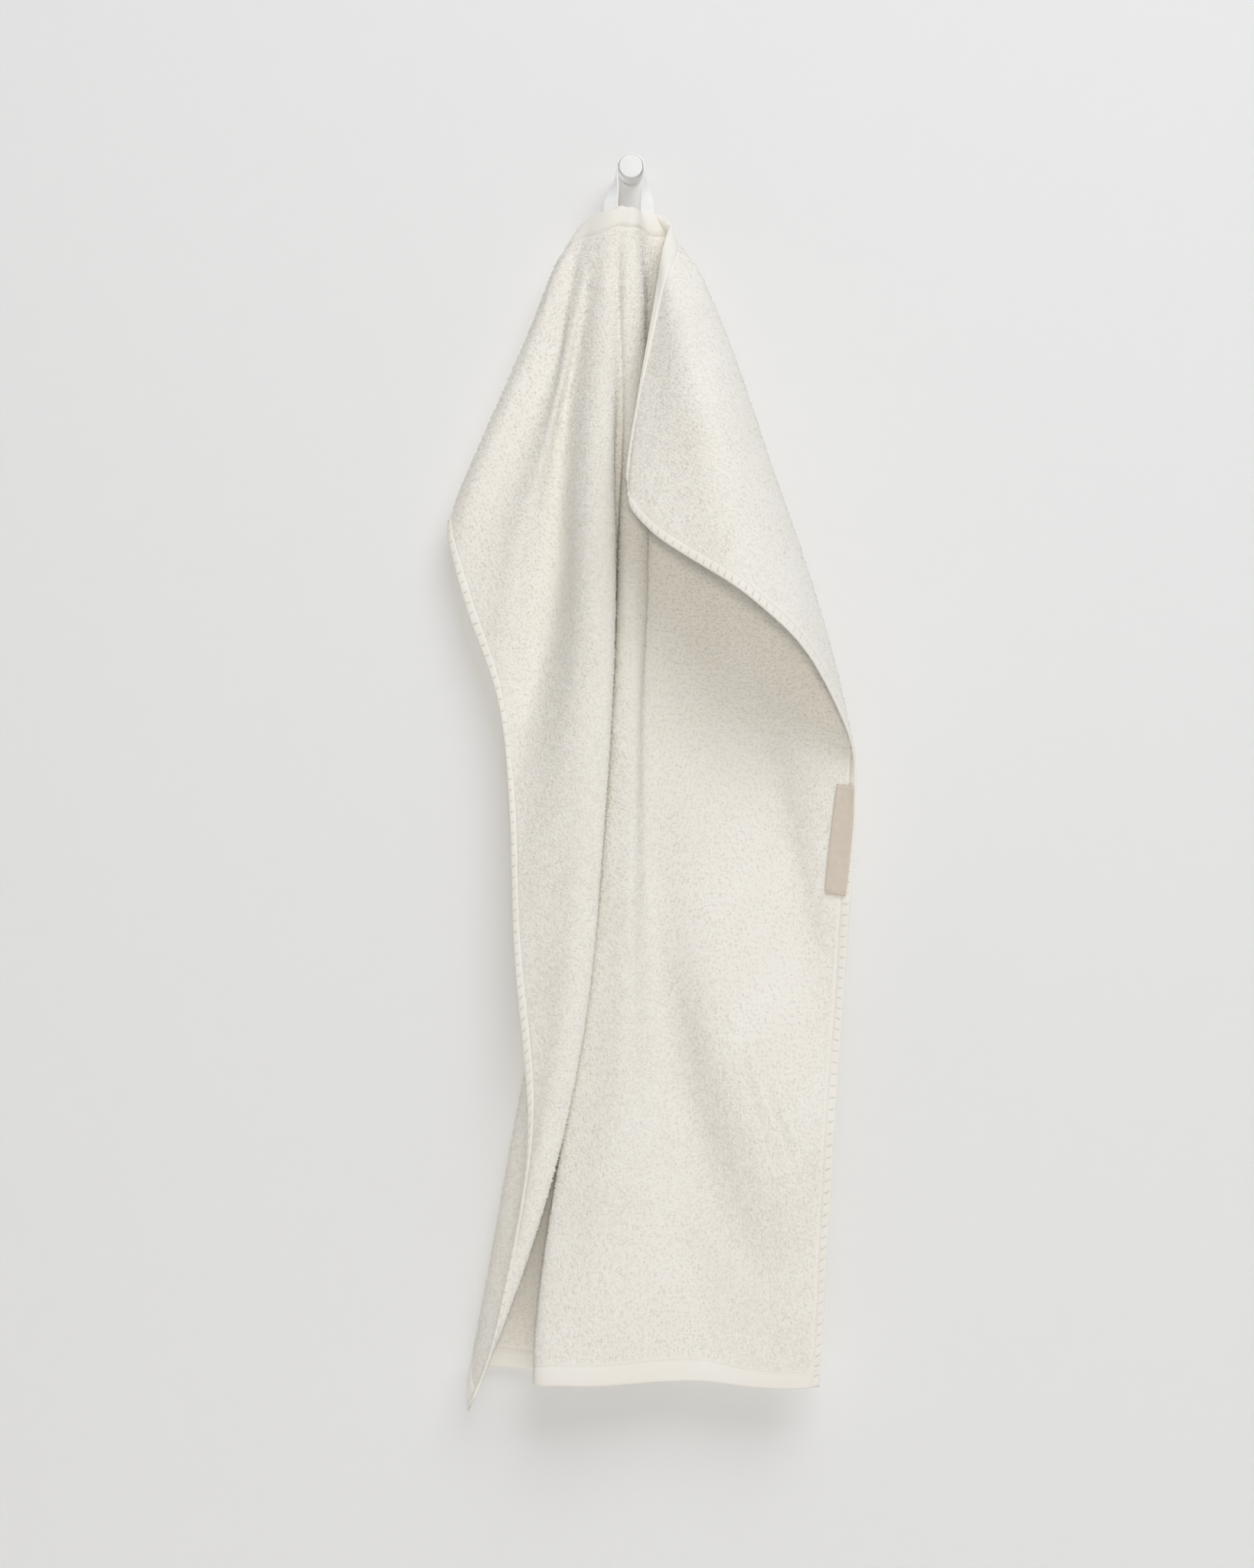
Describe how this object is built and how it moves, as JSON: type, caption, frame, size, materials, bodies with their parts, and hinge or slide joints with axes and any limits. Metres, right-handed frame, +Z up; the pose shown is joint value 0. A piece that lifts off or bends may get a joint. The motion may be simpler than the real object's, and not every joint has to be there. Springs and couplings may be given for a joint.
{
  "type": "terry towel on a wall hook",
  "caption": "Terry hand towel that hangs in folds by its tape loop from a short plain wall peg, one long edge curled forward.",
  "frame": {"origin": "middle of the peg's round wall face", "axes": "+X to the right as seen from the room, +Y into the wall, +Z up"},
  "size_m": [0.3105, 0.1168, 0.9545],
  "materials": {
    "terry": "looped cotton pile",
    "tape": "plain woven cotton",
    "label_tape": "plain woven",
    "peg_paint": "matt white paint"
  },
  "bodies": {
    "root": {"towel": "terry", "hanging_loop": "tape", "label": "label_tape", "hook": "peg_paint"}
  },
  "joints": []
}
